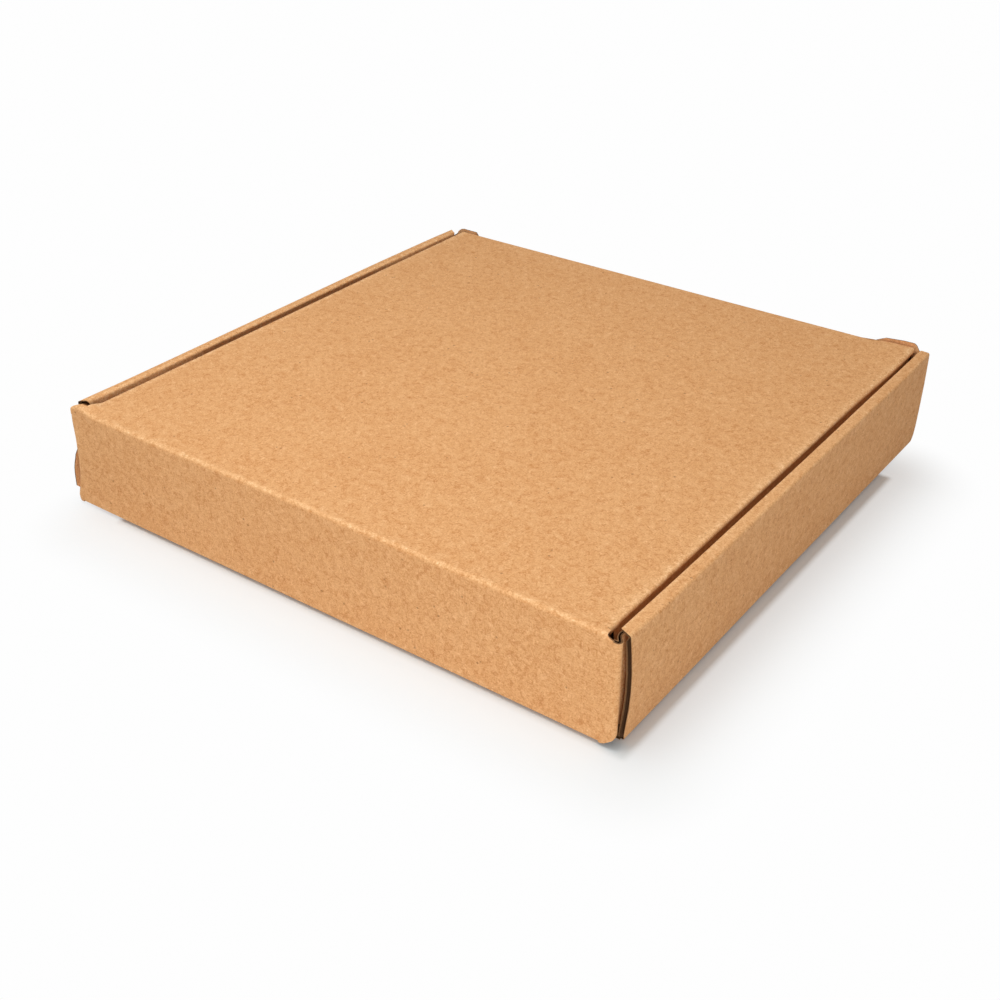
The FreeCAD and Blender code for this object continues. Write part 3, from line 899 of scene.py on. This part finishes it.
class Shader:
    """Short ways to add nodes to a material or a world."""

    def __init__(self, owner):
        self.owner = owner
        owner.use_nodes = True
        self.tree = owner.node_tree
        self.tree.nodes.clear()

    def add(self, kind, output=0, settings=(), **inputs):
        """Add a node, set or link its inputs, and give back one of its outputs.

        An input is given by its name, or by its number after an underscore.
        """
        node = self.tree.nodes.new("ShaderNode" + kind)
        for name, value in dict(settings).items():
            setattr(node, name, value)
        for name, value in inputs.items():
            name = name.replace("_", " ").strip()
            socket = node.inputs[int(name)] if name.isdigit() else node.inputs[name]
            if isinstance(value, bpy.types.NodeSocket):
                self.tree.links.new(value, socket)
            else:
                socket.default_value = value
        return node.outputs[output]

    def noise(self, where, scale, detail=2.0, roughness=0.5, distortion=0.0):
        """A noise from 0 to 1, mostly near the middle."""
        return self.add("TexNoise", Vector=where, Scale=scale, Detail=detail,
                        Roughness=roughness, Distortion=distortion)

    def compute(self, operation, first, second=0.0):
        """One step of arithmetic."""
        return self.add("Math", settings={"operation": operation}, _0=first, _1=second)

    def band(self, value, low, high, at_low=0.0, at_high=1.0):
        """A value brought smoothly from one range to another."""
        return self.add("MapRange", settings={"interpolation_type": "SMOOTHSTEP"},
                        Value=value, _1=low, _2=high, _3=at_low, _4=at_high)

    def blend(self, share, first, second, kind="MIX"):
        """The first colour, changed by a share of the second."""
        return self.add("Mix", 2, {"data_type": "RGBA", "blend_type": kind},
                        _0=share, _6=first, _7=second)

    def paper(self, colour, rough, height, strength, distance=0.0002, shine=0.2):
        """A matt surface, whose face is as bumpy as the height says."""
        bump = self.add("Bump", Strength=strength, Distance=distance, Height=height)
        return self.add("BsdfPrincipled", Base_Color=colour, Roughness=rough, Normal=bump,
                        Specular_IOR_Level=shine)

    def finish(self, surface):
        """Make this the surface, and give back the material or the world."""
        kind = "World" if isinstance(self.owner, bpy.types.World) else "Material"
        output = self.tree.nodes.new("ShaderNodeOutput" + kind)
        self.tree.links.new(surface, output.inputs["Surface"])
        return self.owner


def grey(value):
    return (value, value, value, 1.0)


# the darkest and lightest fibres against the paper's own colour, by channel
DARKER = (0.87, 0.78, 0.68)
LIGHTER = (1.09, 1.18, 1.30)
RUBBED_AND_HIGHLIGHT = (1.15, 1.30, 1.50)     # and the paper along a crease, paler from rubbed fibres and a painted highlight
SPECK = (0.33, 0.135, 0.045, 1)

# how many there are to a metre of paper
CLOUDS, SWIRLS, GRAIN, SPECKS = 22, 300, 1350, 210
# the same for three sorts of fibre, with each one's shift and what it does to the colour
FIBRES = ((330, 3.1, DARKER), (420, 7.7, LIGHTER), (560, 12.9, DARKER))


def kraft(name, colour, seed, strength=1.0):
    """Kraft paper: clouded brown with curved fibres, light and dark, small specks, and paler rubbed
    fibres with a painted highlight along its creases.
    """
    shader = Shader(bpy.data.materials.new(name))
    flat = shader.add("UVMap", settings={"uv_map": "blank"})
    place = shader.add("VectorMath", settings={"operation": "ADD"}, _0=flat, _1=(0, 0, seed))

    clouds = shader.band(shader.noise(place, CLOUDS, 3), 0.3, 0.7, 0.44, 0.56)
    swirls = shader.band(shader.noise(place, SWIRLS, 4, 0.62, 1.3), 0.3, 0.7, -0.30, 0.30)
    grain = shader.band(shader.noise(place, GRAIN, 2, 0.6), 0.3, 0.7, -0.38, 0.38)
    tone = shader.compute("ADD", shader.compute("ADD", clouds, swirls), grain)
    dark = (*(channel * share for channel, share in zip(colour, DARKER)), 1)
    light = (*(channel * share for channel, share in zip(colour, LIGHTER)), 1)
    paper = shader.blend(tone, dark, light)
    for scale, shift, change in FIBRES:
        spot = shader.add("VectorMath", settings={"operation": "ADD"}, _0=place,
                          _1=(0, 0, shift))
        # a fibre lies along each line where the noise passes its middle value
        swing = shader.compute("SUBTRACT", shader.noise(spot, scale, 1.5, 0.4, 0.6), 0.5)
        line = shader.band(shader.compute("ABSOLUTE", swing), 0.015, 0.07, 1, 0)
        broken = shader.band(shader.noise(spot, scale * 0.9, 1), 0.5, 0.6)
        fibre = shader.compute("MULTIPLY", shader.compute("MULTIPLY", line, broken), 0.8 * strength)
        paper = shader.blend(fibre, paper, shader.blend(1.0, paper, (*change, 1), "MULTIPLY"))

    dots = shader.add("TexVoronoi", Vector=place, Scale=SPECKS, Randomness=1.0)
    rare = shader.band(shader.noise(place, 95, 1), 0.56, 0.62)
    speck = shader.compute("MULTIPLY", shader.band(dots, 0.08, 0.15, 1, 0), rare)
    paper = shader.blend(shader.compute("MULTIPLY", speck, 0.7 * strength), paper, SPECK)

    # a painted highlight, with paler rubbed fibres, along the creases that the attribute marks
    wear_and_highlight = shader.add("Attribute", "Fac", {"attribute_name": "crease_wear_and_highlight"})
    frayed = shader.band(shader.noise(place, 520, 3, 0.7), 0.4, 0.6, 0.25, 1)
    paper = shader.blend(shader.compute("MULTIPLY", wear_and_highlight, frayed), paper,
                         shader.blend(1.0, paper, (*RUBBED_AND_HIGHLIGHT, 1), "MULTIPLY"))

    fuzz = shader.compute("MULTIPLY", shader.noise(place, 320, 3), 0.6)
    height = shader.compute("ADD", tone, fuzz)
    rough = shader.band(shader.noise(place, 260, 2), 0.3, 0.7, 0.72, 0.9)
    return shader.finish(shader.paper(paper, rough, height, 0.35, shine=0.25))


def fluting_painted_shade():
    """The waved paper between the liners, coarse and dark: somewhat darker as such paper is, and
    much darker as painted shade of the board's hollows.
    """
    shader = Shader(bpy.data.materials.new("fluting_painted_shade"))
    flat = shader.add("UVMap", settings={"uv_map": "blank"})
    fibre = shader.noise(flat, 900, 3, 0.7)
    # near black: painted shade in the hollows between the liners
    colour = shader.blend(fibre, (0.06, 0.026, 0.010, 1), (0.14, 0.064, 0.026, 1))
    return shader.finish(shader.paper(colour, 0.9, fibre, 0.5))


def cut_edge_painted_shade():
    """A cut edge of paper: short torn fibres, darker than the face, partly as cut paper is and
    partly as painted shade of the board's open ends.
    """
    shader = Shader(bpy.data.materials.new("cut_edge_painted_shade"))
    place = shader.add("TexCoord", "Object")
    fibre = shader.noise(place, 1800, 3, 0.7)
    # dark brown: painted shade of the shadowed board ends, beyond the cut fibres' own darkness
    colour = shader.blend(fibre, (0.19, 0.09, 0.036, 1), (0.44, 0.235, 0.105, 1))
    return shader.finish(shader.paper(colour, 0.92, fibre, 0.6, distance=0.0001))


# in the order OUTSIDE, INSIDE, MEDIUM, CUT
BOARD_MATERIALS = [
    kraft("kraft_outside", (0.752, 0.392, 0.162), 0.0),
    kraft("kraft_inside", (0.70, 0.365, 0.16), 5.0, 0.8),
    fluting_painted_shade(),
    cut_edge_painted_shade(),
]


# ---- floor, light and camera ----

# in metres, as everything from here on
FLOOR_HALF = 6.0
FLOOR_DROP = 0.0015             # the floor lies this far below the box
SHADOW_SHIFT = (0.016, -0.022)
CONTACT_WIDTH = 0.004
SHADOW_WIDTH = 0.05
CONTACT_SHARE = 0.52            # share of the shadow that fades within the contact's width


def white_for_camera(shader, seen, unseen):
    """Mix two surfaces by whether a camera, glossy or transmission ray meets them."""
    path = shader.tree.nodes.new("ShaderNodeLightPath")
    glass = shader.compute("MAXIMUM", path.outputs["Is Glossy Ray"],
                           path.outputs["Is Transmission Ray"])
    looking = shader.compute("MAXIMUM", path.outputs["Is Camera Ray"], glass)
    return shader.add("MixShader", _0=looking, _1=unseen, _2=seen)


def distance_outside(shader):
    """How far a point of the floor lies outside the box's outline.

    The outline is cut short at the left and in front, by twice the shift, so that the
    shadow shows beside the right wall and the hinge wall.
    """
    spot = shader.tree.nodes.new("ShaderNodeSeparateXYZ")
    shader.tree.links.new(shader.add("TexCoord", "Object"), spot.inputs[0])
    squares = []
    for axis, shift in enumerate(SHADOW_SHIFT):
        off_middle = shader.compute("ABSOLUTE", shader.compute("ADD", spot.outputs[axis], shift))
        beyond = shader.compute("SUBTRACT", off_middle, cad_bounds[1][axis] - abs(shift))
        gap = shader.compute("MAXIMUM", beyond)
        squares.append(shader.compute("MULTIPLY", gap, gap))
    return shader.compute("SQRT", shader.compute("ADD", *squares))


def make_floor():
    """A wide pale floor that keeps the box's shadow and is white away from it."""
    mesh = bpy.data.meshes.new("floor")
    corners = [(x * FLOOR_HALF, y * FLOOR_HALF, 0)
               for x, y in ((-1, -1), (1, -1), (1, 1), (-1, 1))]
    mesh.from_pydata(corners, [], [(0, 1, 2, 3)])
    floor = bpy.data.objects.new("floor", mesh)
    bpy.context.scene.collection.objects.link(floor)
    shader = Shader(bpy.data.materials.new("white_floor"))
    away = distance_outside(shader)
    shaded = shader.add("BsdfDiffuse", Color=(0.79, 0.82, 0.82, 1))
    open_floor = shader.add("Emission", Color=grey(0.99), Strength=1.0)
    # the shadow is dark close to the box, and from there it fades out: the lamps shade the diffuse
    # floor, but a mask shaped like the box's outline sets how far that shows, so the shadow is
    # partly painted
    share = shader.compute(
        "ADD", shader.band(away, -0.001, CONTACT_WIDTH, 0, CONTACT_SHARE),
        shader.band(away, CONTACT_WIDTH, SHADOW_WIDTH, 0, 1 - CONTACT_SHARE))
    seen = shader.add("MixShader", _0=share, _1=shaded, _2=open_floor)
    unseen = shader.add("BsdfDiffuse", Color=grey(0.85))
    mesh.materials.append(shader.finish(white_for_camera(shader, seen, unseen)))
    floor.location.z = -FLOOR_DROP


def make_world(strength):
    """Even white light from all round, and a white background."""
    world = bpy.data.worlds.new("studio")
    bpy.context.scene.world = world
    shader = Shader(world)
    ambient = shader.add("Background", Color=(1.0, 0.975, 0.955, 1), Strength=strength)
    white = shader.add("Background", Color=grey(1), Strength=1.0)
    shader.finish(white_for_camera(shader, white, ambient))


def add_lamp(name, place, power, size=0.5, aim=(0.0, 0.05, 0.05)):
    """A large soft round lamp, turned towards the box."""
    lamp = bpy.data.lights.new(name, "AREA")
    lamp.shape = "DISK"
    lamp.size = size
    lamp.energy = power
    light = bpy.data.objects.new(name, lamp)
    light.location = place
    light.rotation_euler = (Vector(aim) - Vector(place)).to_track_quat("-Z", "Y").to_euler()
    bpy.context.scene.collection.objects.link(light)


def make_camera():
    """A camera above the near right corner, looking across the lid."""
    place = (-0.35495, 0.51342, 0.36361)
    heading, pitch, roll = -0.617013, 0.549507, 0.010069
    forward = Vector((-math.sin(heading) * math.cos(pitch),
                      -math.cos(heading) * math.cos(pitch), -math.sin(pitch)))
    level = forward.cross(Vector((0, 0, 1))).normalized()
    upright = level.cross(forward)
    right = math.cos(roll) * level + math.sin(roll) * upright
    up = math.cos(roll) * upright - math.sin(roll) * level
    camera = bpy.data.objects.new("camera", bpy.data.cameras.new("camera"))
    camera.data.lens = 49.72
    camera.data.sensor_width = 36.0
    turn = Matrix((right, up, -forward)).transposed().to_4x4()
    camera.matrix_world = Matrix.Translation(place) @ turn
    bpy.context.scene.collection.objects.link(camera)
    bpy.context.scene.camera = camera


make_tray()
make_crease()
make_lid()
make_floor()
make_world(strength=0.34)
add_lamp("overhead", (0.1, 0.2, 0.8), power=3.5)
add_lamp("above_hinge", (-0.1, 0.4, 0.45), power=0.6)
add_lamp("low_beside_camera", (-0.7, 0.8, 0.2), power=2.5, size=0.3)
make_camera()
bpy.context.scene.view_settings.view_transform = "Standard"
